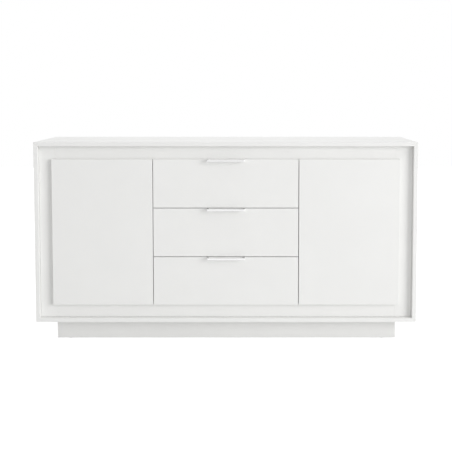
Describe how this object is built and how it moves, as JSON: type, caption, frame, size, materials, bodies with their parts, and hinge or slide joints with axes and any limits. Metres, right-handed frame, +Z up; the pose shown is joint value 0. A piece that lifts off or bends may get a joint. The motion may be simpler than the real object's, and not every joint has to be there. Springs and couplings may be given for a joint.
{
  "type": "sideboard",
  "caption": "Long low sideboard: flat doors either side of a stack of drawers with bar handles, framed by a plain surround inside a mitred shell, on a recessed plinth.",
  "frame": {"origin": "centre of the footprint, at floor level: X and Y are the middle of the overall box, handles included, and Z = 0 is the underside of the glides", "axes": "+X to the right along the width as seen from the front, -Y out of the front, +Z up"},
  "size_m": [1.7, 0.4454, 0.9],
  "materials": {
    "lacquer_shell": "white silk-matt lacquer on board",
    "lacquer_front": "white silk-matt lacquer on board",
    "lacquer_plinth": "white silk-matt lacquer on board",
    "inner_board": "white melamine-faced board",
    "back_board": "white lacquered thin board",
    "drawer_board": "white melamine-faced board",
    "handle_metal": "satin anodised",
    "zinc_steel": "bright zinc-plated steel",
    "latch_plastic": "moulded light grey",
    "glide_plastic": "moulded black"
  },
  "bodies": {
    "carcase": {"top_panel": "lacquer_shell", "bottom_panel": "lacquer_shell", "left_side": "lacquer_shell", "right_side": "lacquer_shell", "surround_top": "lacquer_shell", "surround_bottom": "lacquer_shell", "surround_left": "lacquer_shell", "surround_right": "lacquer_shell", "inner_side_left": "inner_board", "inner_side_right": "inner_board", "partition_left": "inner_board", "partition_right": "inner_board", "inner_floor": "inner_board", "floor_bearers": "inner_board", "top_cleats": "inner_board", "back_panel": "back_board", "back_screws": "zinc_steel", "shelf_left": "inner_board", "shelf_right": "inner_board", "shelf_pins": "zinc_steel", "plinth_front": "lacquer_plinth", "plinth_back": "lacquer_plinth", "plinth_ends": "lacquer_plinth", "plinth_brace": "lacquer_plinth", "glides": "glide_plastic", "hinge_arms": "zinc_steel", "hinge_plates": "zinc_steel", "slide_channels": "zinc_steel", "latch_housings": "latch_plastic"},
    "door_left": {"door_left": "lacquer_front", "hinge_cups_left": "zinc_steel", "latch_plate_left": "zinc_steel"},
    "hinge_links_left": {"hinge_links_left": "zinc_steel"},
    "latch_plunger_left": {"latch_plunger_left": "latch_plastic"},
    "door_right": {"door_right": "lacquer_front", "hinge_cups_right": "zinc_steel", "latch_plate_right": "zinc_steel"},
    "hinge_links_right": {"hinge_links_right": "zinc_steel"},
    "latch_plunger_right": {"latch_plunger_right": "latch_plastic"},
    "drawer_top": {"drawer_front_top": "lacquer_front", "drawer_sides_top": "drawer_board", "drawer_back_top": "drawer_board", "drawer_bottom_top": "drawer_board", "handle_top": "handle_metal", "drawer_runners_top": "zinc_steel"},
    "slide_middles_top": {"slide_middles_top": "zinc_steel"},
    "drawer_middle": {"drawer_front_middle": "lacquer_front", "drawer_sides_middle": "drawer_board", "drawer_back_middle": "drawer_board", "drawer_bottom_middle": "drawer_board", "handle_middle": "handle_metal", "drawer_runners_middle": "zinc_steel"},
    "slide_middles_middle": {"slide_middles_middle": "zinc_steel"},
    "drawer_bottom": {"drawer_front_bottom": "lacquer_front", "drawer_sides_bottom": "drawer_board", "drawer_back_bottom": "drawer_board", "drawer_bottom_bottom": "drawer_board", "handle_bottom": "handle_metal", "drawer_runners_bottom": "zinc_steel"},
    "slide_middles_bottom": {"slide_middles_bottom": "zinc_steel"}
  },
  "joints": [
    {"name": "door_left_hinge", "type": "hinge", "parent": "carcase", "child": "door_left", "pos_m": [-0.765, -0.18875, 0.498], "axis": [0, 0, -1], "range_deg": [0, 95]},
    {"name": "hinge_links_left_turn", "type": "hinge", "parent": "carcase", "child": "hinge_links_left", "pos_m": [-0.733, -0.17075, 0.498], "axis": [0, 0, 1], "range_deg": [0, 28.5]},
    {"name": "latch_plunger_left_slide", "type": "slide", "parent": "carcase", "child": "latch_plunger_left", "axis": [0, -1, 0], "range_m": [0, 0.012]},
    {"name": "door_right_hinge", "type": "hinge", "parent": "carcase", "child": "door_right", "pos_m": [0.765, -0.18875, 0.498], "axis": [0, 0, 1], "range_deg": [0, 95]},
    {"name": "hinge_links_right_turn", "type": "hinge", "parent": "carcase", "child": "hinge_links_right", "pos_m": [0.733, -0.17075, 0.498], "axis": [0, 0, -1], "range_deg": [0, 28.5]},
    {"name": "latch_plunger_right_slide", "type": "slide", "parent": "carcase", "child": "latch_plunger_right", "axis": [0, -1, 0], "range_m": [0, 0.012]},
    {"name": "drawer_top_slide", "type": "slide", "parent": "carcase", "child": "drawer_top", "axis": [0, -1, 0], "range_m": [0, 0.33]},
    {"name": "slide_middles_top_slide", "type": "slide", "parent": "carcase", "child": "slide_middles_top", "axis": [0, -1, 0], "range_m": [0, 0.165]},
    {"name": "drawer_middle_slide", "type": "slide", "parent": "carcase", "child": "drawer_middle", "axis": [0, -1, 0], "range_m": [0, 0.33]},
    {"name": "slide_middles_middle_slide", "type": "slide", "parent": "carcase", "child": "slide_middles_middle", "axis": [0, -1, 0], "range_m": [0, 0.165]},
    {"name": "drawer_bottom_slide", "type": "slide", "parent": "carcase", "child": "drawer_bottom", "axis": [0, -1, 0], "range_m": [0, 0.33]},
    {"name": "slide_middles_bottom_slide", "type": "slide", "parent": "carcase", "child": "slide_middles_bottom", "axis": [0, -1, 0], "range_m": [0, 0.165]}
  ],
  "couplings": [
    {"joint": "hinge_links_left_turn", "follows": "door_left_hinge", "ratio": 0.3},
    {"joint": "latch_plunger_left_slide", "follows": "door_left_hinge", "m_per_rad": 0.007},
    {"joint": "hinge_links_right_turn", "follows": "door_right_hinge", "ratio": 0.3},
    {"joint": "latch_plunger_right_slide", "follows": "door_right_hinge", "m_per_rad": 0.007},
    {"joint": "slide_middles_top_slide", "follows": "drawer_top_slide", "ratio": 0.5},
    {"joint": "slide_middles_middle_slide", "follows": "drawer_middle_slide", "ratio": 0.5},
    {"joint": "slide_middles_bottom_slide", "follows": "drawer_bottom_slide", "ratio": 0.5}
  ]
}
